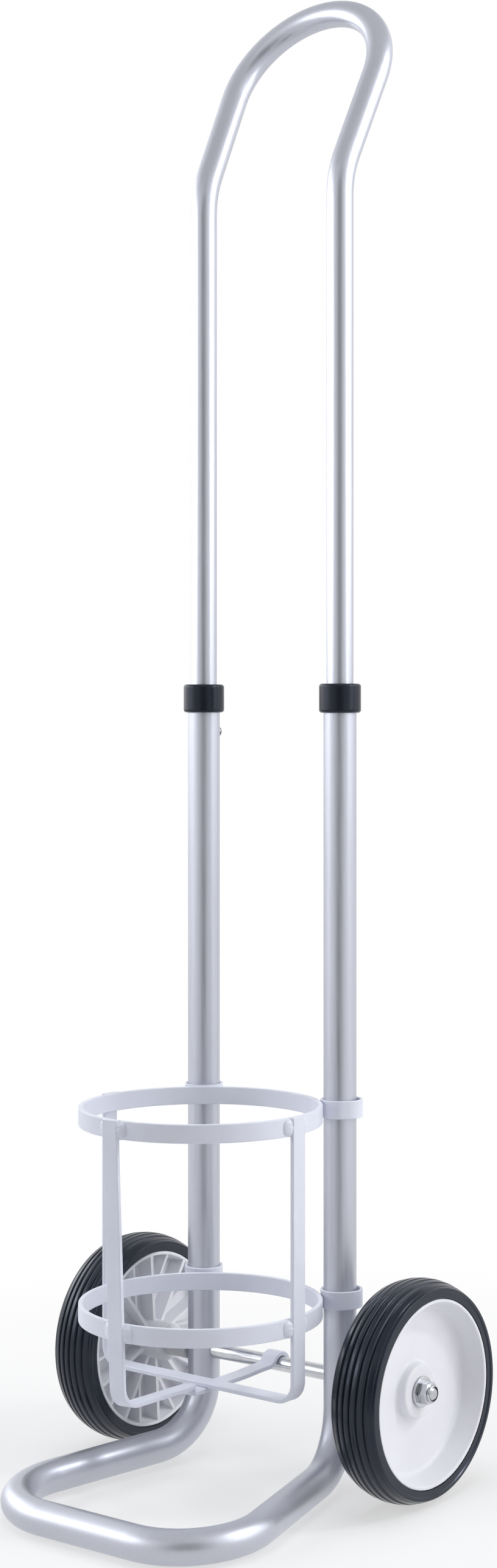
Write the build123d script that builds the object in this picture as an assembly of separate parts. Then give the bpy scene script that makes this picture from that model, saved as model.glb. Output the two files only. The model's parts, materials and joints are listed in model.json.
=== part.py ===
from build123d import *
import math
import os

# Wheels and stance
wheel_d = 144.0
wheel_track = 238.8
lean = 1.78

# Base frame: one bent tube, from collar to collar round the front of the base
tube_d = 22.0
tube_wall = 1.5
leg_spacing = 118.0
leg_top = 457.2
heel_drop = 59.05
heel_bend_r = 40.0
front_bend_r = 50.0
front_y = -184.05
foot_splay = 13.45

# Telescopic handle
handle_d = 18.0
handle_wall = 1.2
handle_end = 338.0
handle_bend_z = 800.0
handle_bend_r = 64.0
handle_slant = 26.7
handle_reach = 143.8
grip_spacing = 126.4

# Collars on the leg tops
collar_d = 28.0
collar_h = 19.4
collar_lip = 3.0
collar_round = 2.0

# Snap buttons and their lock holes
lock_z = 427.6
lock_pitch = 53.0
lock_count = 7
lock_turn = 55.0
button_d = 7.0
button_tip = 12.4
button_flange_d = 9.0
button_flange_t = 1.1
button_flange_r = 6.2
spring_w = 5.0
spring_t = 0.6
spring_drop = 46.0

# Cylinder holder: flat bar, rolled and bent
bar_w = 12.0
bar_t = 3.0
ring_d = 160.0
ring_gap = 3.1
upper_ring_top = 183.9
lower_ring_top = 56.1
floor_bar_top = 3.8
strap_bend_r = 12.5
side_strap_turn = 0.9
front_strap_top_x = -5.9
front_strap_low_x = 1.0
tail_end = 13.0
strip_x = 4.0
strip_overlap = 4.0
hook_gap = 0.3
hook_r = 6.2
hook_blend_r = 9.0
hook_end = 20.0
bead_r = 2.5
bead_step = 3.2

# Clamp loops that slip over the legs
clamp_t = 1.8
clamp_slack = 2.1
upper_clamp_lift = 0.3
lower_clamp_lift = 2.0
clamp_bead_r = 3.0

# Axle and its fixings
axle_d = 10.0
thread_d = 8.0
thread_show = 0.3
washer_d = 20.0
washer_t = 1.8
nut_af = 13.0
nut_h = 6.2
nut_collar_h = 2.0
nut_insert_r = 4.9
nut_insert_depth = 0.9
spacer_d = 17.5

# Wheel rim and tyre
rim_w = 32.2
tyre_h = 11.3
lip_w = 2.5
lip_h = 1.3
lip_face = 2.4
dish_in = 5.7
disc_face = -1.0
disc_t = 3.5
boss_r = 17.5
boss_face = 5.5
hub_r = 13.0
hub_end = -29.8
rib_count = 10
rib_t = 2.6
rib_edge = -15.9
gusset_t = 2.0
gusset_edge = -15.0
gusset_start = 15.0
rib_turn = 3.7
tread_w = 33.4
tread_crown = 4.4
shoulder_round = 0.5
side_bulge = 0.2
side_step = 0.7
side_h = 4.0
groove_count = 5
groove_pitch = 5.05
groove_w = 1.9
groove_depth = 1.4
rib_round = 0.5

# Fits
run_gap = 0.05
slide_gap = 0.1
press_gap = 0.02
part_gap = 0.3
end_gap = 0.2

tube_r = tube_d / 2
tube_bore_r = tube_r - tube_wall
handle_r = handle_d / 2
handle_bore_r = handle_r - handle_wall
ring_r = ring_d / 2
half_legs = leg_spacing / 2
axle_r = axle_d / 2
axle_z = wheel_d / 2
tilt = math.radians(lean)
slant = math.radians(handle_slant)
grip_y = handle_reach * math.sin(slant)
grip_z = handle_bend_z + handle_reach * math.cos(slant)
# The grip is one arch: its two bends meet at the top
grip_corner = math.atan2(handle_reach, (grip_spacing - leg_spacing) / 2)
grip_bend_r = (grip_spacing / 2 - end_gap) * math.tan(grip_corner / 2)

# The origin is on the floor at the middle of the cart's length, from the front bar to the back of the grip
front_end = front_y - tube_r
back_end = grip_y * math.cos(tilt) + grip_z * math.sin(tilt) + handle_r
axle_y = -(front_end + back_end) / 2

# The legs lean back about the axle, so the feet and the wheels stand on one floor
leg_axis = (0, math.sin(tilt), math.cos(tilt))
stance = Plane(origin=(0, axle_y, axle_z), x_dir=(1, 0, 0), z_dir=leg_axis).location


def on_leg(x, y, z):
    return (stance * Pos(x, y, z)).position


def bent_path(points, radii):
    edges = []
    start = Vector(points[0])
    for i, radius in enumerate(radii):
        corner = Vector(points[i + 1])
        back = (Vector(points[i]) - corner).normalized()
        ahead = (Vector(points[i + 2]) - corner).normalized()
        half = math.radians(back.get_angle(ahead)) / 2
        reach = radius / math.tan(half)
        middle = (back + ahead).normalized()
        bend_in = corner + back * reach
        bend_out = corner + ahead * reach
        bend_mid = corner + middle * (radius / math.sin(half) - radius)
        edges.append(Edge.make_line(start, bend_in))
        edges.append(Edge.make_three_point_arc(bend_in, bend_mid, bend_out))
        start = bend_out
    edges.append(Edge.make_line(start, Vector(points[-1])))
    return Wire(edges)


def swept(section, path, x_dir=None):
    plane = Plane(origin=path @ 0, x_dir=x_dir, z_dir=path % 0)
    return sweep(plane * section, path=path)


def bent_tube(path, radius, wall):
    return swept(Circle(radius), path) - swept(Circle(radius - wall), path)


def disc_x(radius, x_from, x_to):
    length = x_to - x_from
    return Pos(x_from + length / 2, 0, 0) * Cylinder(radius, length, rotation=(0, 90, 0))


# Base frame: the feet slope down from the heels to the front bar, which stands on the floor
foot_x = half_legs - (front_y + heel_drop * math.sin(tilt)) * math.tan(math.radians(foot_splay))
frame_points = [
    on_leg(-half_legs, 0, leg_top),
    on_leg(-half_legs, 0, -heel_drop),
    (-foot_x, axle_y + front_y, tube_r),
    (foot_x, axle_y + front_y, tube_r),
    on_leg(half_legs, 0, -heel_drop),
    on_leg(half_legs, 0, leg_top),
]
frame_path = bent_path(frame_points, [heel_bend_r, front_bend_r, front_bend_r, heel_bend_r])
base_frame = bent_tube(frame_path, tube_r, tube_wall)
base_frame -= stance * disc_x(axle_r + slide_gap, -2 * leg_spacing, 2 * leg_spacing)


def button_plane(side, z):
    # Buttons face inwards and back; side is -1 on the left leg and 1 on the right
    turn = math.radians(lock_turn)
    out = (-side * math.cos(turn), math.sin(turn), 0)
    return Plane(origin=(side * half_legs, 0, z), x_dir=(0, 0, 1), z_dir=out)


def round_bar(radius, start, end):
    return Pos(0, 0, (start + end) / 2) * Cylinder(radius, end - start)


lock_hole = round_bar(button_d / 2 + 2 * slide_gap, handle_bore_r - 1, tube_r + 2)
for side in (-1, 1):
    for step in range(lock_count):
        base_frame -= stance * button_plane(side, lock_z - step * lock_pitch).location * lock_hole

# Handle
handle_points = [
    (-half_legs, 0, handle_end),
    (-half_legs, 0, handle_bend_z),
    (-grip_spacing / 2, grip_y, grip_z),
    (grip_spacing / 2, grip_y, grip_z),
    (half_legs, 0, handle_bend_z),
    (half_legs, 0, handle_end),
]
handle_path = bent_path(handle_points, [handle_bend_r, grip_bend_r, grip_bend_r, handle_bend_r])
handle_tube = bent_tube(handle_path, handle_r, handle_wall)
button_hole = round_bar(button_d / 2 + slide_gap, handle_bore_r - 2, handle_r + 2)
for side in (-1, 1):
    handle_tube -= button_plane(side, lock_z).location * button_hole

# Guide plug in the lower end of a handle leg
plug = Cylinder(tube_bore_r - run_gap, 5, align=(Align.CENTER, Align.CENTER, Align.MAX))
plug = chamfer(plug.edges().filter_by(GeomType.CIRCLE).group_by(Axis.Z)[0], 0.8)
plug += Cylinder(handle_bore_r - run_gap, 14, align=(Align.CENTER, Align.CENTER, Align.MIN))
plug -= Cylinder(handle_bore_r / 2, handle_end)

# Collar: a sleeve with a lip over the tube end
collar = Cylinder(collar_d / 2, collar_h, align=(Align.CENTER, Align.CENTER, Align.MIN))
collar = fillet(collar.edges().filter_by(GeomType.CIRCLE), collar_round)
collar_bore = Cylinder(tube_r + press_gap, collar_h, align=(Align.CENTER, Align.CENTER, Align.MIN))
collar -= Pos(0, 0, -collar_lip) * collar_bore
collar -= Cylinder(handle_r + slide_gap, 3 * collar_h)
collar_bottom = leg_top + collar_lip - collar_h

# Snap button: domed pin with a flange inside the handle tube
button = round_bar(button_d / 2, button_flange_r, button_tip)
button = fillet(button.edges().filter_by(GeomType.CIRCLE).group_by(Axis.Z)[-1], 2.4)
button += round_bar(button_flange_d / 2, button_flange_r - button_flange_t, button_flange_r)

# Leaf spring behind the button: folded strip, in the button plane (x up the leg, z outwards)
leaf_out = button_flange_r - button_flange_t - spring_t / 2 - 0.05
leaf_back = -math.sqrt(handle_bore_r ** 2 - (spring_w / 2) ** 2) + spring_t / 2 + slide_gap
leaf_points = [
    (button_d / 2, 0, leaf_out),
    (-6, 0, leaf_out),
    (-spring_drop, 0, leaf_back + 4.2),
    (-spring_drop, 0, leaf_back),
    (-8, 0, leaf_back),
]
leaf_path = bent_path(leaf_points, [4, 1.9, 1.9])
leaf = swept(Rectangle(spring_t, spring_w), leaf_path, x_dir=(0, 0, 1))

# Holder rings, one clamp's thickness in front of the legs
ring_y = -math.sqrt((ring_r + tube_r + ring_gap) ** 2 - half_legs ** 2)
ring = Cylinder(ring_r, bar_w, align=(Align.CENTER, Align.CENTER, Align.MAX))
ring -= Cylinder(ring_r - bar_t, 3 * bar_w)
ring = fillet(ring.edges().filter_by(GeomType.CIRCLE), 0.7)
upper_ring = Pos(0, ring_y, upper_ring_top) * ring
lower_ring = Pos(0, ring_y, lower_ring_top) * ring
rings_clear = Cylinder(ring_r + press_gap, 4 * upper_ring_top)
rings_clear -= Cylinder(ring_r - bar_t - press_gap, 5 * upper_ring_top)

# Straps are laid out about the ring axis
ring_axis = Pos(0, ring_y, 0)
strap_line = ring_r + press_gap + bar_t / 2
bar_section = RectangleRounded(bar_t, bar_w, 0.7)
ring_middles = [upper_ring_top - bar_w / 2, lower_ring_top - bar_w / 2]


def weld_beads(turns):
    # Each bead is a row of three lumps along the edge of the strap
    bead = Sphere(bead_r, rotation=(0, 90, 0))
    for lift in (-bead_step, bead_step):
        bead += Pos(0, 0, lift) * Sphere(0.85 * bead_r, rotation=(0, 90, 0))
    beads = []
    for z, turn in zip(ring_middles, turns):
        for edge in (-1, 1):
            beads.append(Rot(0, 0, turn) * Pos(ring_r, edge * bar_w / 2, z) * bead)
    return beads


floor_bar_z = floor_bar_top - bar_t / 2
side_points = [
    (-strap_line, 0, upper_ring_top),
    (-strap_line, 0, floor_bar_z),
    (strap_line, 0, floor_bar_z),
    (strap_line, 0, upper_ring_top),
]
side_strap = swept(bar_section, bent_path(side_points, [strap_bend_r, strap_bend_r]), x_dir=(1, 0, 0))
for bead in weld_beads([0, 0]) + weld_beads([180, 180]):
    side_strap += bead - rings_clear
side_strap = ring_axis * Rot(0, 0, -side_strap_turn) * side_strap

# The front strap leans to one side; its tail runs back over the hook strip to a rounded tip
tail_z = floor_bar_z + 2 * part_gap
front_points = [
    (front_strap_top_x, -strap_line, upper_ring_top),
    (front_strap_low_x, -strap_line, tail_z),
    (strip_x, -tail_end, tail_z),
]
front_strap = swept(bar_section, bent_path(front_points, [strap_bend_r]), x_dir=(0, 1, 0))
tail_turn = math.degrees(math.atan2(strip_x - front_strap_low_x, strap_line - tail_end))
tip_cut = Box(2 * bar_w, bar_w, 3 * bar_t) - Pos(0, -bar_w / 2, 0) * Cylinder(bar_w / 2, 5 * bar_t)
front_strap -= Location((strip_x, -tail_end, tail_z), (0, 0, -tail_turn)) * tip_cut
front_turns = []
for z in ring_middles:
    down = (upper_ring_top - z) / (upper_ring_top - tail_z)
    x = front_strap_top_x + down * (front_strap_low_x - front_strap_top_x)
    front_turns.append(math.degrees(math.asin(x / strap_line)) - 90)
front_strap += [bead - rings_clear for bead in weld_beads(front_turns)]
front_strap = ring_axis * front_strap

# Axle hook: a strip under the tail and the floor bar, which rises and arches over the axle
under_z = floor_bar_top - 1.5 * bar_t - press_gap
hook_line_r = hook_r + bar_t / 2
hook_z = axle_r + hook_gap - hook_r
strip_z = under_z + 1.0
blend_z = strip_z + hook_blend_r - hook_z
blend_y = -math.sqrt((hook_line_r + hook_blend_r) ** 2 - blend_z ** 2)
share = hook_line_r / (hook_line_r + hook_blend_r)
meet = Vector(0, blend_y * share, hook_z + blend_z * share)
end_angle = math.radians(hook_end)
hook_tip = Vector(0, hook_line_r * math.cos(end_angle), hook_z + hook_line_r * math.sin(end_angle))
blend_turn = math.atan2(-blend_y, blend_z) / 2
blend_mid_y = blend_y + hook_blend_r * math.sin(blend_turn)
blend_mid_z = strip_z + hook_blend_r * (1 - math.cos(blend_turn))
strip_start = ring_y - tail_end - strip_overlap
hook_path = Wire([
    Edge.make_line((0, strip_start, under_z), (0, blend_y - 30, under_z)),
    Edge.make_spline(
        [Vector(0, blend_y - 30, under_z), Vector(0, blend_y, strip_z)],
        tangents=[Vector(0, 1, 0), Vector(0, 1, 0)],
    ),
    Edge.make_three_point_arc((0, blend_y, strip_z), (0, blend_mid_y, blend_mid_z), meet),
    Edge.make_three_point_arc(meet, (0, 0, hook_z + hook_line_r), hook_tip),
])
axle_hook = Pos(strip_x, 0, 0) * swept(bar_section, hook_path, x_dir=(0, 0, 1))

# Clamp loop: a flat band round the leg, snug at the front with slack behind; x points to the ring axis
clamp_r = tube_r + part_gap


def loop_face(radius):
    return Pos(-clamp_slack / 2, 0) * SlotCenterToCenter(clamp_slack, 2 * radius)


clamp_band = extrude(loop_face(clamp_r + clamp_t) - loop_face(clamp_r), bar_w / 2, both=True)
clamp_ends = clamp_band.faces().sort_by(Axis.Z)
clamp_band = fillet(clamp_ends[0].edges() + clamp_ends[-1].edges(), 0.6)
weld_x = math.hypot(half_legs, ring_y) - ring_r


def clamp(side, ring_top, lift):
    aim = math.degrees(math.atan2(ring_y, -side * half_legs))
    bead = Pos(weld_x - part_gap, 0, -lift) * Sphere(clamp_bead_r)
    bead -= Pos(weld_x + ring_r, 0, 0) * rings_clear
    bead -= Cylinder(clamp_r, 2 * bar_w)
    return Location((side * half_legs, 0, ring_top - bar_w / 2 + lift), (0, 0, aim)) * (clamp_band + bead)


# Axle, spacers and fixings along x
hub_face = wheel_track / 2 + boss_face
shoulder = hub_face + end_gap
axle_end = shoulder + washer_t + nut_h + nut_collar_h + thread_show
axle = disc_x(axle_r, -shoulder, shoulder) + disc_x(thread_d / 2, -axle_end, axle_end)
axle = chamfer(axle.faces().sort_by(Axis.X)[0].edges() + axle.faces().sort_by(Axis.X)[-1].edges(), 0.8)
hub_in = wheel_track / 2 + hub_end
spacer = disc_x(spacer_d / 2, half_legs + tube_r + part_gap, hub_in - end_gap)
spacer = chamfer(spacer.edges().filter_by(GeomType.CIRCLE), 0.6)
spacer -= disc_x(axle_r + run_gap, 0, wheel_track)
washer = disc_x(washer_d / 2, shoulder, shoulder + washer_t)
washer = fillet(washer.edges().filter_by(GeomType.CIRCLE), 0.4)
washer -= disc_x(thread_d / 2 + run_gap, 0, wheel_track)

# Lock nut: hexagon with chamfered corners and a round collar over its insert
nut_x = shoulder + washer_t
nut_corner = nut_af / 2 + 1.1
nut_flat = nut_af / 2 - 0.1
nut = Pos(nut_x, 0, 0) * extrude(Plane.YZ * RegularPolygon(nut_af / 2, 6, major_radius=False), nut_h)
nut_turning = make_face(Polyline(
    (nut_x, 0),
    (nut_x, nut_flat),
    (nut_x + 0.7, nut_corner),
    (nut_x + nut_h - 0.7, nut_corner),
    (nut_x + nut_h, nut_flat),
    (nut_x + nut_h, 0),
    close=True,
))
nut &= revolve(nut_turning, axis=Axis.X)
nut_cap = disc_x(nut_af / 2 - 0.9, nut_x + nut_h - 0.5, nut_x + nut_h + nut_collar_h)
nut_cap = fillet(nut_cap.faces().sort_by(Axis.X)[-1].edges(), 1.2)
nut += nut_cap
nut -= disc_x(thread_d / 2 + run_gap, 0, wheel_track)
nut -= disc_x(nut_insert_r, axle_end - thread_show - nut_insert_depth, axle_end)

# Wheel rim: dished outer face, ribbed inner face
wheel_mid = wheel_track / 2
bore_r = axle_r + run_gap
tyre_r = wheel_d / 2
lip_r = tyre_r - tyre_h
seat_r = lip_r - lip_h
dish_r = lip_r - dish_in
half_rim = rim_w / 2
lip_in = half_rim - lip_w
back_face = disc_face - disc_t
rim_profile = make_face(Polyline(
    (boss_face, bore_r),
    (boss_face, boss_r),
    (disc_face, boss_r + 1),
    (disc_face, dish_r),
    (half_rim, lip_r - lip_face),
    (half_rim, lip_r),
    (lip_in, lip_r),
    (lip_in, seat_r),
    (-lip_in, seat_r),
    (-lip_in, lip_r),
    (-half_rim, lip_r),
    (-half_rim, lip_r - lip_face),
    (back_face, dish_r + 1.5),
    (back_face, hub_r + 0.5),
    (hub_end, hub_r),
    (hub_end, bore_r),
    close=True,
))


def corner_at(face, x, y):
    return face.vertices().sort_by_distance((x, y, 0))[0]


rim_profile = fillet([corner_at(rim_profile, disc_face, dish_r)], 4)
rim_profile = fillet([corner_at(rim_profile, disc_face, boss_r + 1)], 2.5)
rim_profile = fillet([corner_at(rim_profile, boss_face, boss_r)], 2)
rim_profile = fillet([corner_at(rim_profile, hub_end, hub_r)], 1)
for x in (-half_rim, half_rim):
    rim_profile = fillet([corner_at(rim_profile, x, lip_r - lip_face)], 1)
    rim_profile = fillet([corner_at(rim_profile, x, lip_r)], 0.8)
rim = revolve(rim_profile, axis=Axis.X)
rib_in = hub_r - 1
rib_out = lip_r - lip_face + 0.5
rib = Pos((back_face + 1 + rib_edge) / 2, 0, (rib_in + rib_out) / 2)
rib *= Box(back_face + 1 - rib_edge, rib_t, rib_out - rib_in)
gusset = make_face(Polyline(
    (back_face + 0.5, gusset_start),
    (back_face + 0.5, rib_out),
    (gusset_edge, rib_out),
    close=True,
))
gusset = extrude(Plane.XZ * gusset, gusset_t / 2, both=True)
rib_step = 360 / rib_count
for i in range(rib_count):
    rim += Rot(rib_step * i - rib_turn, 0, 0) * rib
    rim += Rot(rib_step * (i + 0.5) - rib_turn, 0, 0) * gusset

# Tyre: solid rubber with ring grooves, seated between the rim lips
tyre_in = seat_r + run_gap
side_r = lip_r + part_gap
edge_x = tread_w / 2
edge_r = tyre_r - tread_crown
tyre_side = edge_x + side_bulge
step_r = lip_r + side_h
tyre_half = [
    (edge_x, edge_r),
    (tyre_side, step_r + side_step),
    (tyre_side - side_step, step_r),
    (tyre_side - side_step, side_r),
    (lip_in - end_gap, side_r),
    (lip_in - end_gap, tyre_in),
]
tyre_profile = make_face([
    Polyline(*tyre_half, *[(-x, r) for x, r in reversed(tyre_half)]),
    ThreePointArc((-edge_x, edge_r), (0, tyre_r), (edge_x, edge_r)),
])
for x in (-edge_x, edge_x):
    tyre_profile = fillet([corner_at(tyre_profile, x, edge_r)], shoulder_round)
# A square set on its corner bevels the edges of each groove
groove = RectangleRounded(groove_w, 2 * groove_depth, groove_w / 3)
bevel = (groove_w / 2 + rib_round) * math.sqrt(2)
groove += Rot(0, 0, 45) * Rectangle(bevel, bevel)
crown_r = (edge_x ** 2 + tread_crown ** 2) / (2 * tread_crown)
for i in range(groove_count):
    slope = math.asin((i - (groove_count - 1) / 2) * groove_pitch / crown_r)
    top = Vector(crown_r * math.sin(slope), tyre_r - crown_r * (1 - math.cos(slope)))
    tyre_profile -= Pos(top.X, top.Y) * Rot(0, 0, -math.degrees(slope)) * groove
tyre = revolve(tyre_profile, axis=Axis.X)

nodes = {
    "collar_left": Pos(-half_legs, 0, collar_bottom) * collar,
    "collar_right": Pos(half_legs, 0, collar_bottom) * collar,
    "handle_tube": handle_tube,
    "guide_plug_left": Pos(-half_legs, 0, handle_end) * plug,
    "guide_plug_right": Pos(half_legs, 0, handle_end) * plug,
    "snap_button_left": button_plane(-1, lock_z).location * button,
    "snap_button_right": button_plane(1, lock_z).location * button,
    "button_spring_left": button_plane(-1, lock_z).location * leaf,
    "button_spring_right": button_plane(1, lock_z).location * leaf,
    "upper_ring": upper_ring,
    "lower_ring": lower_ring,
    "side_strap": side_strap,
    "front_strap": front_strap,
    "axle_hook": axle_hook,
    "upper_clamp_left": clamp(-1, upper_ring_top, upper_clamp_lift),
    "upper_clamp_right": clamp(1, upper_ring_top, upper_clamp_lift),
    "lower_clamp_left": clamp(-1, lower_ring_top, lower_clamp_lift),
    "lower_clamp_right": clamp(1, lower_ring_top, lower_clamp_lift),
    "axle": axle,
    "spacer_left": Rot(0, 0, 180) * spacer,
    "spacer_right": spacer,
    "washer_left": Rot(0, 0, 180) * washer,
    "washer_right": washer,
    "axle_nut_left": Rot(0, 0, 180) * nut,
    "axle_nut_right": nut,
    "wheel_rim_left": Rot(0, 0, 180) * Pos(wheel_mid, 0, 0) * rim,
    "wheel_rim_right": Pos(wheel_mid, 0, 0) * rim,
    "tyre_left": Rot(0, 0, 180) * Pos(wheel_mid, 0, 0) * tyre,
    "tyre_right": Pos(wheel_mid, 0, 0) * tyre,
}

os.makedirs("parts", exist_ok=True)
export_step(base_frame, "parts/base_frame.step")
for name, shape in nodes.items():
    export_step(stance * shape, f"parts/{name}.step")
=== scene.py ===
import json
import math

import bmesh
import bpy
from mathutils import Matrix, Vector

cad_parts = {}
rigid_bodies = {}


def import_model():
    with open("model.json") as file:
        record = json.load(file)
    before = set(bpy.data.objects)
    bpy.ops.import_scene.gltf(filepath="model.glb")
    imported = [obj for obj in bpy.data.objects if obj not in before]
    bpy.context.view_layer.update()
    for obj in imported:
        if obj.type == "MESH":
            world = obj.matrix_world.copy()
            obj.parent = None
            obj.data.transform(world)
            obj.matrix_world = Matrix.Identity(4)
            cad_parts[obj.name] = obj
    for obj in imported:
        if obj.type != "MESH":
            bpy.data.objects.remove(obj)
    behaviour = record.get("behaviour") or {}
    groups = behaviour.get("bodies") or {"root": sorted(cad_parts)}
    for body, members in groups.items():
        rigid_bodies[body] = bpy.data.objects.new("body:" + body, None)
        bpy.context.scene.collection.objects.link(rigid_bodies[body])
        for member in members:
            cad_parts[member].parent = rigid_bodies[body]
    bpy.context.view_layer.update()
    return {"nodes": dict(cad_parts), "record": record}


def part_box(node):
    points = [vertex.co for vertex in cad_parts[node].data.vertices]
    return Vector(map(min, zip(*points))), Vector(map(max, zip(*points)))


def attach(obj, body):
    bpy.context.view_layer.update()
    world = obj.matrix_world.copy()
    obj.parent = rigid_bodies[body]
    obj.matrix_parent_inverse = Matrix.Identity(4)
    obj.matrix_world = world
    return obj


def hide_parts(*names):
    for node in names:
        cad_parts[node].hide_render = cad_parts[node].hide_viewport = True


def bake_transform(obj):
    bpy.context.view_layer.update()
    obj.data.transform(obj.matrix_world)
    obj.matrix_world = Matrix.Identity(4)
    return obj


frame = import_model()
nodes = frame["nodes"]
record = frame["record"]
joints = {joint["name"]: joint for joint in record["behaviour"]["joints"]}
bores = {mount["name"]: mount for mount in record["mounts"]}
objects = bpy.context.scene.collection.objects
SIDES = {"left": -1, "right": 1}

# The cart's own frame: the origin on the axle, z along the legs, which lean back
AXLE = Vector(joints["wheel_left_spin"]["pos_m"])
LEG_AXIS = Vector(joints["handle_slide"]["axis"])
LEAN = math.atan2(LEG_AXIS.y, LEG_AXIS.z)
LEGS = Matrix.Translation(AXLE) @ Matrix.Rotation(-LEAN, 4, "X")

# Materials: most values of a noise lie between its low and its high
WHITE = (1.0, 1.0, 1.0)
BLUISH = (0.74, 0.81, 1.0)
NOISE_LOW, NOISE_HIGH = 0.3, 0.7


class Paint:
    """A node material with helpers for its procedural inputs."""

    def __init__(self, name):
        self.mat = bpy.data.materials.new(name)
        self.mat.use_nodes = True
        self.tree = self.mat.node_tree
        self.tree.nodes.clear()
        self.out = self.add("ShaderNodeOutputMaterial")
        self.coords = self.add("ShaderNodeTexCoord").outputs["Object"]
        self.bsdf = None
        self.normal = None

    def add(self, kind, **props):
        node = self.tree.nodes.new(kind)
        for key, value in props.items():
            setattr(node, key, value)
        return node

    def link(self, source, target):
        self.tree.links.new(source, target)

    def surface(self, shader):
        self.link(shader, self.out.inputs["Surface"])

    def principled(self, metallic=0.0, specular=0.5, tint=WHITE):
        """Make the surface a Principled shader."""
        self.bsdf = self.add("ShaderNodeBsdfPrincipled")
        self.bsdf.inputs["Metallic"].default_value = metallic
        self.bsdf.inputs["Specular IOR Level"].default_value = specular
        self.bsdf.inputs["Specular Tint"].default_value = (*tint, 1.0)
        self.surface(self.bsdf.outputs[0])

    def noise(self, cells, detail):
        """Noise over object space; cells are counted per metre along x, y and z."""
        mapping = self.add("ShaderNodeMapping")
        mapping.inputs["Scale"].default_value = cells
        self.link(self.coords, mapping.inputs["Vector"])
        tex = self.add("ShaderNodeTexNoise")
        tex.inputs["Scale"].default_value = 1.0
        tex.inputs["Detail"].default_value = detail
        self.link(mapping.outputs[0], tex.inputs["Vector"])
        return tex.outputs["Fac"]

    def tones(self, source, dark, light, start=NOISE_LOW, end=NOISE_HIGH):
        """A colour from dark to light, as the source goes from start to end."""
        node = self.add("ShaderNodeValToRGB")
        for element, place, colour in zip(node.color_ramp.elements, (start, end), (dark, light)):
            element.position = place
            element.color = (*colour, 1.0)
        self.link(source, node.inputs[0])
        return node.outputs[0]

    def span(self, source, low, high, start=NOISE_LOW, end=NOISE_HIGH):
        """A value from low to high, as the source goes from start to end."""
        node = self.add("ShaderNodeMapRange")
        node.inputs["From Min"].default_value = start
        node.inputs["From Max"].default_value = end
        node.inputs["To Min"].default_value = low
        node.inputs["To Max"].default_value = high
        self.link(source, node.inputs["Value"])
        return node.outputs[0]

    def math(self, operation, a, b):
        node = self.add("ShaderNodeMath", operation=operation)
        self.link(a, node.inputs[0])
        self.link(b, node.inputs[1])
        return node.outputs[0]

    def mix(self, factor, a, b):
        node = self.add("ShaderNodeMix", data_type="RGBA")
        self.link(factor, node.inputs["Factor"])
        self.link(a, node.inputs[6])
        self.link(b, node.inputs[7])
        return node.outputs[2]

    def colour(self, source):
        self.link(source, self.bsdf.inputs["Base Color"])

    def rough(self, source):
        self.link(source, self.bsdf.inputs["Roughness"])

    def bump(self, source, strength, distance):
        """Add a relief on top of those that the surface already has."""
        node = self.add("ShaderNodeBump")
        node.inputs["Strength"].default_value = strength
        node.inputs["Distance"].default_value = distance
        self.link(source, node.inputs["Height"])
        if self.normal is not None:
            self.link(self.normal, node.inputs["Normal"])
        self.normal = node.outputs[0]
        self.link(self.normal, self.bsdf.inputs["Normal"])


# Grains and patches in cells per metre along x, y and z
DRAW_LINES, TUBE_PATCHES = (900, 900, 12), (14, 14, 5)
TURNING_LINES, ZINC_PATCHES = (900, 60, 60), (120, 120, 120)
RUBBER_DUST, RUBBER_GRAIN, RUBBER_LINES = (60, 60, 60), (1800, 1800, 1800), (2400, 15, 15)
DRAW_LOW, DRAW_HIGH, DUST_HIGH = 0.25, 0.75, 0.75


def anodised_tube(name, metallic, rough):
    """Satin aluminium with fine draw lines along the tube."""
    paint = Paint(name)
    paint.principled(metallic=metallic)
    streaks = paint.noise(DRAW_LINES, detail=4)
    patches = paint.noise(TUBE_PATCHES, detail=3)
    drawn = paint.tones(streaks, dark=(0.49, 0.503, 0.562), light=(0.55, 0.567, 0.632),
                        start=DRAW_LOW, end=DRAW_HIGH)
    clouded = paint.tones(patches, dark=(0.50, 0.513, 0.572), light=(0.54, 0.556, 0.622))
    paint.colour(paint.mix(patches, drawn, clouded))
    paint.rough(paint.span(streaks, *rough))
    paint.bump(streaks, strength=0.08, distance=0.00003)
    return paint.mat


def zinc_steel(name, dark, light):
    """Bright plated steel with fine turning lines."""
    paint = Paint(name)
    paint.principled(metallic=1.0)
    lines = paint.noise(TURNING_LINES, detail=3)
    patches = paint.noise(ZINC_PATCHES, detail=3)
    paint.colour(paint.tones(patches, dark, light))
    paint.rough(paint.span(lines, low=0.12, high=0.22))
    paint.bump(lines, strength=0.1, distance=0.00004)
    return paint.mat


def tyre_rubber():
    """Dark rubber with a little dust, a fine grain and lines round the tyre."""
    paint = Paint("black_rubber")
    paint.principled(specular=0.42, tint=BLUISH)
    dust = paint.noise(RUBBER_DUST, detail=5)
    grain = paint.noise(RUBBER_GRAIN, detail=3)
    lines = paint.noise(RUBBER_LINES, detail=2)
    dusty = paint.tones(dust, dark=(0.008, 0.0105, 0.0175), light=(0.0125, 0.016, 0.025), end=DUST_HIGH)
    paint.colour(dusty)
    paint.rough(paint.span(dust, low=0.2, high=0.28))
    paint.bump(grain, strength=0.15, distance=0.00004)
    paint.bump(lines, strength=0.2, distance=0.00006)
    return paint.mat


def patchy(name, patches, rough, dark, light, detail=4, specular=0.5, tint=WHITE):
    """A coat or plastic whose colour and gloss vary a little in patches, counted per metre."""
    paint = Paint(name)
    paint.principled(specular=specular, tint=tint)
    cloud = paint.noise((patches, patches, patches), detail)
    paint.colour(paint.tones(cloud, dark, light))
    paint.rough(paint.span(cloud, *rough))
    return paint


def grained(paint, cells, detail, strength, distance):
    """The paint's material, with a fine relief of cells per metre."""
    paint.bump(paint.noise((cells, cells, cells), detail), strength, distance)
    return paint.mat


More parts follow.
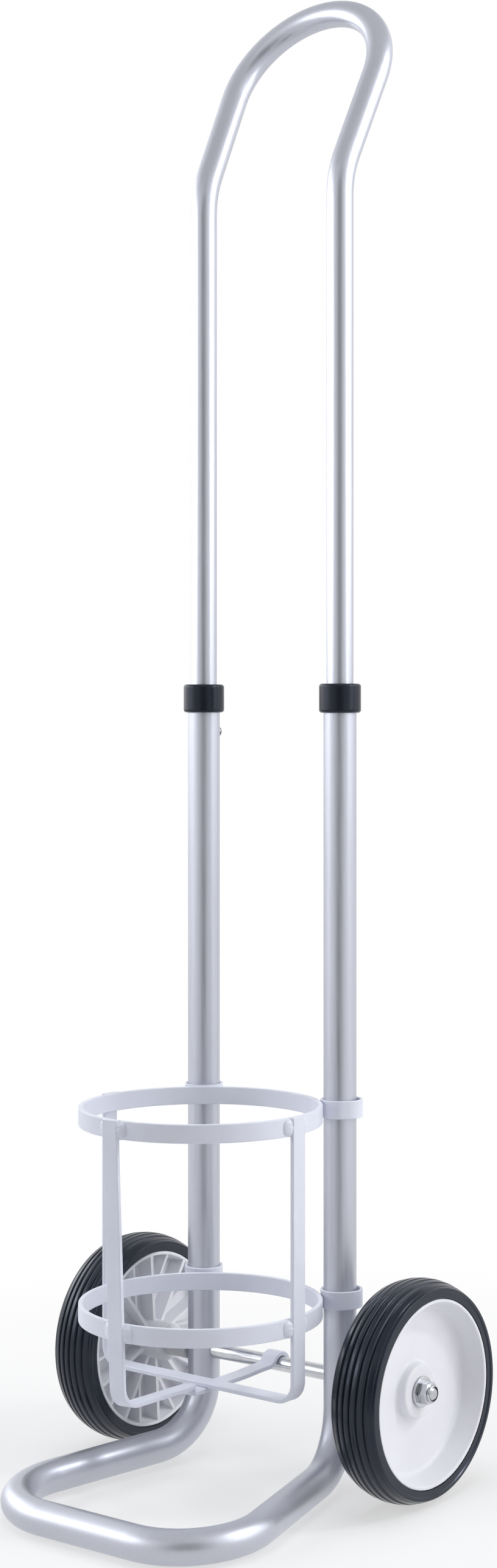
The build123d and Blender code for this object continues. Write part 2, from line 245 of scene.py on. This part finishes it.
powder_coat = grained(
    patchy("white_powder_coat", patches=40, rough=(0.32, 0.42),
           dark=(0.715, 0.735, 0.83), light=(0.755, 0.775, 0.87)),
    cells=1400, detail=1, strength=0.25, distance=0.00006)
rim_plastic = grained(
    patchy("white_moulded_plastic", patches=30, rough=(0.38, 0.48),
           dark=(0.79, 0.793, 0.83), light=(0.83, 0.833, 0.87)),
    cells=2600, detail=2, strength=0.15, distance=0.00003)
collar_plastic = grained(
    patchy("black_collar_plastic", patches=90, rough=(0.24, 0.32),
           dark=(0.006, 0.008, 0.013), light=(0.010, 0.012, 0.018), specular=0.32, tint=BLUISH),
    cells=2200, detail=2, strength=0.15, distance=0.00003)
spacer_plastic = patchy("grey_spacer_plastic", patches=70, rough=(0.4, 0.5),
                        dark=(0.56, 0.56, 0.57), light=(0.64, 0.64, 0.65)).mat
# Nylon for the nut rings: near-black, partly its own colour and partly painted shade of the recess it
# sits in
nylon_painted_shade = patchy("nylon_with_painted_shade", patches=400, detail=3, rough=(0.4, 0.5),
                      dark=(0.018, 0.021, 0.028), light=(0.035, 0.039, 0.048)).mat
button_steel = zinc_steel("dark_button_steel", dark=(0.20, 0.205, 0.22), light=(0.28, 0.285, 0.30))

looks = {
    "tube": anodised_tube("anodised_frame", metallic=0.75, rough=(0.36, 0.45)),
    "collar": collar_plastic,
    "holder": powder_coat,
    "steel": zinc_steel("bright_zinc_steel", dark=(0.50, 0.51, 0.54), light=(0.60, 0.61, 0.64)),
    "spacer": spacer_plastic,
    "rim": rim_plastic,
    "tyre": tyre_rubber(),
}
own_looks = {
    "handle_tube": anodised_tube("anodised_handle", metallic=0.8, rough=(0.30, 0.38)),
    "snap_button_left": button_steel,
    "snap_button_right": button_steel,
}
for part in record["subparts"]:
    materials = nodes[part["node"]].data.materials
    materials.clear()
    materials.append(own_looks.get(part["node"], looks[part["material_slot"]]))

# Pieces in mesh code
SHARP = math.radians(40)


def solid_piece(name, points, faces, body, slot, look):
    """A closed mesh with its faces outward, riding on a body."""
    bm = bmesh.new()
    corners = [bm.verts.new(point) for point in points]
    for face in faces:
        bm.faces.new([corners[i] for i in face])
    bmesh.ops.recalc_face_normals(bm, faces=bm.faces)
    mesh = bpy.data.meshes.new(name)
    bm.to_mesh(mesh)
    bm.free()
    mesh.shade_smooth()
    mesh.set_sharp_from_angle(angle=SHARP)
    mesh.materials.append(look)
    obj = bpy.data.objects.new(name, mesh)
    objects.link(obj)
    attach(obj, body)
    return obj


def turned_about_axle(profile, segments):
    """Points and faces of a closed (x, radius) profile turned about the axle line."""
    count = len(profile)
    points, faces = [], []
    for i in range(segments):
        turn = math.tau * i / segments
        for x, r in profile:
            points.append((x, AXLE.y + r * math.cos(turn), AXLE.z + r * math.sin(turn)))
        for j in range(count):
            k, n = (j + 1) % count, (i + 1) % segments
            faces.append((i * count + j, i * count + k, n * count + k, n * count + j))
    return points, faces


# Nylon ring in the end of each lock nut, near-black partly in its own colour and partly as painted shade
# in the nut's narrow recess
INSERT_IN, INSERT_OUT = 0.0042, 0.0048
INSERT_DEPTH, INSERT_SUNK = 0.0008, 0.0003
INSERT_SEGMENTS = 48
for side, outward in SIDES.items():
    low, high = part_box("axle_nut_" + side)
    outer = (high if outward > 0 else low)[0] - outward * INSERT_SUNK
    inner = outer - outward * INSERT_DEPTH
    crown = (outer + inner) / 2
    insert = [
        (inner, INSERT_IN),
        (crown, INSERT_IN),
        (outer, (INSERT_IN + INSERT_OUT) / 2),
        (crown, INSERT_OUT),
        (inner, INSERT_OUT),
    ]
    solid_piece("nut_insert_" + side, *turned_about_axle(insert, INSERT_SEGMENTS),
                "cart", "collar", nylon_painted_shade)

# Tyres: rounded ridges across the crown, and a fine moulding line near each shoulder
TREAD_DROP, TREAD_STEPS = 0.0044, 160
VALLEYS, VALLEY_PITCH, VALLEY_HALF, VALLEY_DEPTH = 5, 0.00505, 0.0014, 0.0016
LINE_INSET, LINE_HALF, LINE_DEPTH = 0.0018, 0.0005, 0.0003
SHOULDER_R, SHOULDER_STEPS = 0.0009, 8
SIDE_BULGE, SIDE_STEP, SIDE_LOW, SIDE_IN = 0.0002, 0.0007, 0.0647, 0.061
SEAT_HALF, SEAT_R = 0.0134, 0.05945
TYRE_SEGMENTS = 120


def hollow(distance, half, depth):
    """Depth of a rounded valley at a distance from its middle."""
    if abs(distance) >= half:
        return 0.0
    return depth * (1 + math.cos(math.pi * distance / half)) / 2


def tyre_profile(radius, half):
    """Closed profile of a tyre: crowned tread, round shoulders, stepped walls and the seat in the rim."""
    edge = half - SIDE_BULGE
    crown_r = (edge ** 2 + TREAD_DROP ** 2) / (2 * TREAD_DROP)
    end = (half - SHOULDER_R) / (1 - SHOULDER_R / crown_r)
    slope = math.asin(end / crown_r)
    tread = []
    for i in range(TREAD_STEPS + 1):
        x = end * (1 - 2 * i / TREAD_STEPS)
        r = radius - crown_r + math.sqrt(crown_r ** 2 - x ** 2)
        for n in range(VALLEYS):
            r -= hollow(x - (n - (VALLEYS - 1) / 2) * VALLEY_PITCH, VALLEY_HALF, VALLEY_DEPTH)
        r -= hollow(abs(x) - edge + LINE_INSET, LINE_HALF, LINE_DEPTH)
        tread.append((x, r))
    shoulder_r = tread[0][1] - SHOULDER_R * math.cos(slope)
    wall = []
    for i in range(1, SHOULDER_STEPS + 1):
        turn = slope + (math.pi / 2 - slope) * i / SHOULDER_STEPS
        wall.append((half - SHOULDER_R * (1 - math.sin(turn)), shoulder_r + SHOULDER_R * math.cos(turn)))
    wall += [
        (half, SIDE_LOW + SIDE_STEP),
        (half - SIDE_STEP, SIDE_LOW),
        (half - SIDE_STEP, SIDE_IN),
        (SEAT_HALF, SIDE_IN),
        (SEAT_HALF, SEAT_R),
    ]
    return tread + [(-x, r) for x, r in wall] + list(reversed(wall))


for side in SIDES:
    low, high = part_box("tyre_" + side)
    middle = (low[0] + high[0]) / 2
    half = (high[0] - low[0]) / 2
    radius = (high[2] - low[2]) / 2
    profile = [(middle + x, r) for x, r in tyre_profile(radius, half)]
    tyre = solid_piece("ridged_tyre_" + side, *turned_about_axle(profile, TYRE_SEGMENTS),
                       "wheel_" + side, "tyre", looks["tyre"])
    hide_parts("tyre_" + side)

# Leaf springs: a copy of each spring's mesh, fixed where it stands, takes the place of the hidden CAD
# spring
for side in SIDES:
    spring = nodes["button_spring_" + side]
    leaf = bpy.data.objects.new("bending_spring_" + side, spring.data.copy())
    objects.link(leaf)
    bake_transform(leaf)
    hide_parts("button_spring_" + side)

# Painted-over weld beside each edge of each strap, on the outer faces of the rings
BAR_HALF, BAR_T = 0.006, 0.003
STRAP_TURNS = {"upper": (-0.9, 179.1, -94.0), "lower": (-0.9, 179.1, -90.6)}
WELD_OUT, WELD_ALONG, WELD_UNDER, WELD_HALF = 0.00275, 0.0061, 0.005, 0.0062
WELD_SQUARE, WELD_STEEP = 0.7, 0.9
WELD_RIPPLE, WELD_STEP = 0.00016, 0.0032
WELD_SUNK, WELD_ROOT = 0.0004, 0.0012
WELD_RINGS, WELD_SPOKES = 10, 32


def weld_points(ring_r, edge):
    """Points of a low lump beside a strap's edge: x outward, y round the ring, z up."""
    points = []
    for k in range(WELD_RINGS + 1):
        share = k / WELD_RINGS
        sunk = WELD_SUNK if k == WELD_RINGS else 0.0
        for j in range(WELD_SPOKES if k else 1):
            turn = math.tau * j / WELD_SPOKES
            across, upward = math.cos(turn), math.sin(turn)
            reach = WELD_ALONG if across > 0 else WELD_UNDER
            along = reach * across * share
            up = WELD_HALF * math.copysign(abs(upward) ** WELD_SQUARE, upward) * share
            inside = 1 - (along / reach) ** 2 - abs(up / WELD_HALF) ** (2 / WELD_SQUARE)
            swell = max(0.0, inside) ** WELD_STEEP
            ripple = WELD_RIPPLE * math.cos(math.tau * up / WELD_STEP)
            y = BAR_HALF + along
            x = math.sqrt(ring_r ** 2 - y ** 2) + (WELD_OUT + ripple) * swell
            points.append((x - sunk, edge * y, up))
    points.append((ring_r - WELD_ROOT, edge * BAR_HALF, 0.0))
    return points


def weld_faces():
    """Faces of a weld: a fan at its top, rows of quads and a fan to the point at its root."""
    faces = []
    root = 1 + WELD_RINGS * WELD_SPOKES
    rim = root - WELD_SPOKES
    for j in range(WELD_SPOKES):
        n = (j + 1) % WELD_SPOKES
        faces.append((0, 1 + j, 1 + n))
        for k in range(WELD_RINGS - 1):
            row = 1 + k * WELD_SPOKES
            faces.append((row + j, row + WELD_SPOKES + j, row + WELD_SPOKES + n, row + n))
        faces.append((rim + n, rim + j, root))
    return faces


for ring, turns in STRAP_TURNS.items():
    bore = bores[ring + "_ring_bore"]
    ring_r = bore["dims"]["r_mm"] / 1000 + BAR_T
    centre = Matrix.Translation(LEGS.inverted() @ Vector(bore["pos_m"]))
    for number, degrees in enumerate(turns, 1):
        strap = LEGS @ centre @ Matrix.Rotation(math.radians(degrees), 4, "Z")
        for side, edge in SIDES.items():
            points = [strap @ Vector(point) for point in weld_points(ring_r, edge)]
            solid_piece(f"{ring}_weld_{number}_{side}", points, weld_faces(),
                        "cart", "holder", looks["holder"])

# Camera at the photograph's view: focal length and optical centre in pixels, eye in the cart's own frame
FOCAL = 4134.21
WIDTH, HEIGHT = 816, 2576
CENTRE_X, CENTRE_Y = 566.8, 1156.44
SENSOR = 36.0
PHI = math.radians(36.82)
EYE = Vector((1.0651, -1.3381, 0.4467))
camera = bpy.data.objects.new("camera", bpy.data.cameras.new("camera"))
objects.link(camera)
camera.data.sensor_fit = "VERTICAL"
camera.data.sensor_height = SENSOR
camera.data.lens = FOCAL / HEIGHT * SENSOR
camera.data.shift_x = (WIDTH / 2 - CENTRE_X) / HEIGHT
camera.data.shift_y = (CENTRE_Y - HEIGHT / 2) / HEIGHT
turned = Matrix((
    (math.cos(PHI), 0.0, math.sin(PHI)),
    (math.sin(PHI), 0.0, -math.cos(PHI)),
    (0.0, 1.0, 0.0),
)).to_4x4()
camera.matrix_world = LEGS @ Matrix.Translation(EYE) @ turned
bpy.context.scene.camera = camera

# Floor, white surroundings and soft studio light
RIGHT = Vector((math.cos(PHI), math.sin(PHI), 0.0))
AHEAD = Vector((-math.sin(PHI), math.cos(PHI), 0.0))
DAYLIGHT, WARM = (0.95, 0.97, 1.0), (1.0, 0.975, 0.93)
FILL, FILL_COLOUR = 0.12, (1.0, 0.98, 0.95)
FLOOR_SIZE, FLOOR_DROP, FLOOR_COLOUR = 30.0, 0.0005, (0.86, 0.86, 0.87)
FLOOR_ROUGH, FLOOR_SPECULAR, FLOOR_MIRRORED = 0.9, 0.1, 0.9
FADE_NEAR, FADE_FAR, FADE_LEAST = 0.12, 0.6, 0.55
CARD_FLAT, CEILING = 0.4, 3.2
TOP_BOX_AT = (0.1, -0.2, 2.2)


def face(obj, direction):
    """Turn an object's lower side to a direction, upright."""
    obj.rotation_mode = "QUATERNION"
    obj.rotation_quaternion = direction.to_track_quat("-Z", "Y")


def place(obj, bearing, distance, height):
    """Stand an object at a bearing to the right of the camera's side, facing the cart."""
    turn = math.radians(bearing)
    outward = RIGHT * math.sin(turn) - AHEAD * math.cos(turn)
    obj.location = outward * distance + Vector((0, 0, height))
    face(obj, -outward)


def sheet(name, width, depth):
    """A flat rectangle, used for the floor and the cards."""
    mesh = bpy.data.meshes.new(name)
    x, y = width / 2, depth / 2
    mesh.from_pydata([(-x, -y, 0), (x, -y, 0), (x, y, 0), (-x, y, 0)], [], [(0, 1, 2, 3)])
    obj = bpy.data.objects.new(name, mesh)
    objects.link(obj)
    return obj


def softbox(name, width, height, watts, colour=DAYLIGHT):
    """A rectangular lamp."""
    lamp = bpy.data.lights.new(name, "AREA")
    lamp.shape = "RECTANGLE"
    lamp.size, lamp.size_y = width, height
    lamp.energy = watts
    lamp.color = colour
    obj = bpy.data.objects.new(name, lamp)
    objects.link(obj)
    return obj


def card(name, width, height, level):
    """A studio card that only reflections show: grey in the middle, white at its sides."""
    obj = sheet(name, width, height)
    paint = Paint(name + "_paper")
    split = paint.add("ShaderNodeSeparateXYZ")
    paint.link(paint.coords, split.inputs[0])
    aside = paint.add("ShaderNodeMath", operation="ABSOLUTE")
    paint.link(split.outputs["X"], aside.inputs[0])
    glow = paint.add("ShaderNodeEmission")
    strength = paint.span(aside.outputs[0], level, 1.0, start=CARD_FLAT * width / 2, end=width / 2)
    paint.link(strength, glow.inputs["Strength"])
    paint.surface(glow.outputs[0])
    obj.data.materials.append(paint.mat)
    for ray in ("camera", "diffuse", "shadow", "transmission", "volume_scatter"):
        setattr(obj, "visible_" + ray, False)
    return obj


def floor_paint():
    """A pale floor that keeps the cart's shadow, and turns white further away and in reflections."""
    paint = Paint("pale_floor")
    paint.principled(specular=FLOOR_SPECULAR)
    paint.bsdf.inputs["Roughness"].default_value = FLOOR_ROUGH
    paint.bsdf.inputs["Base Color"].default_value = (*FLOOR_COLOUR, 1.0)
    white = paint.add("ShaderNodeEmission")
    away = paint.add("ShaderNodeVectorMath", operation="LENGTH")
    paint.link(paint.coords, away.inputs[0])
    fade = paint.span(away.outputs["Value"], FADE_LEAST, 1.0, start=FADE_NEAR, end=FADE_FAR)
    rays = paint.add("ShaderNodeLightPath")
    seen = paint.math("MULTIPLY", fade, rays.outputs["Is Camera Ray"])
    mirrored = paint.add("ShaderNodeMath", operation="MULTIPLY")
    paint.link(rays.outputs["Is Glossy Ray"], mirrored.inputs[0])
    mirrored.inputs[1].default_value = FLOOR_MIRRORED
    both = paint.add("ShaderNodeMixShader")
    paint.link(paint.math("MAXIMUM", seen, mirrored.outputs[0]), both.inputs[0])
    paint.link(paint.bsdf.outputs[0], both.inputs[1])
    paint.link(white.outputs[0], both.inputs[2])
    paint.surface(both.outputs[0])
    return paint.mat


def studio_world():
    """White behind the cart and in reflections, and a low warm fill for all other light."""
    world = bpy.data.worlds.new("studio")
    world.use_nodes = True
    tree = world.node_tree
    tree.nodes.clear()
    out = tree.nodes.new("ShaderNodeOutputWorld")
    backdrop = tree.nodes.new("ShaderNodeBackground")
    backdrop.inputs["Color"].default_value = (*WHITE, 1.0)
    fill = tree.nodes.new("ShaderNodeBackground")
    fill.inputs["Color"].default_value = (*FILL_COLOUR, 1.0)
    fill.inputs["Strength"].default_value = FILL
    rays = tree.nodes.new("ShaderNodeLightPath")
    shown = rays.outputs["Is Camera Ray"]
    for kind in ("Is Glossy Ray", "Is Transmission Ray"):
        either = tree.nodes.new("ShaderNodeMath")
        either.operation = "MAXIMUM"
        tree.links.new(shown, either.inputs[0])
        tree.links.new(rays.outputs[kind], either.inputs[1])
        shown = either.outputs[0]
    mixed = tree.nodes.new("ShaderNodeMixShader")
    tree.links.new(shown, mixed.inputs[0])
    tree.links.new(fill.outputs[0], mixed.inputs[1])
    tree.links.new(backdrop.outputs[0], mixed.inputs[2])
    tree.links.new(mixed.outputs[0], out.inputs[0])
    return world


floor = sheet("floor", FLOOR_SIZE, FLOOR_SIZE)
floor.location.z = -FLOOR_DROP
floor.data.materials.append(floor_paint())
bpy.context.scene.world = studio_world()

# Lamps: two large boxes, strips for the tyres, a spot on the wheel, and a low and a high fill
place(softbox("right_box", width=2.3, height=1.7, watts=19), bearing=83, distance=2.0, height=1.38)
place(softbox("left_box", width=3.6, height=1.4, watts=32), bearing=-105, distance=2.0, height=1.2)
place(softbox("left_strip", width=2.2, height=0.18, watts=8), bearing=-86, distance=1.95, height=1.12)
place(softbox("right_strip", width=0.3, height=1.5, watts=4), bearing=68, distance=2.1, height=1.2)
wheel_spot = softbox("right_spot", width=0.3, height=0.3, watts=10)
place(wheel_spot, bearing=80, distance=1.7, height=1.8)
face(wheel_spot, AXLE - wheel_spot.location)
low_box = softbox("low_box", width=1.6, height=0.7, watts=7, colour=WARM)
place(low_box, bearing=72, distance=2.0, height=0.36)
top_box = softbox("top_box", width=1.5, height=1.5, watts=19)
top_box.location = TOP_BOX_AT
for box in (low_box, top_box):
    box.visible_glossy = False

# Cards for the reflections: behind the camera, low in front of the cart and overhead
place(card("front_card", width=2.6, height=3.0, level=0.25), bearing=0, distance=2.6, height=0.9)
place(card("low_card", width=0.6, height=0.44, level=0.12), bearing=0, distance=0.6, height=0.23)
card("ceiling_card", width=6.0, height=6.0, level=0.61).location.z = CEILING

bpy.context.scene.view_settings.view_transform = "Standard"
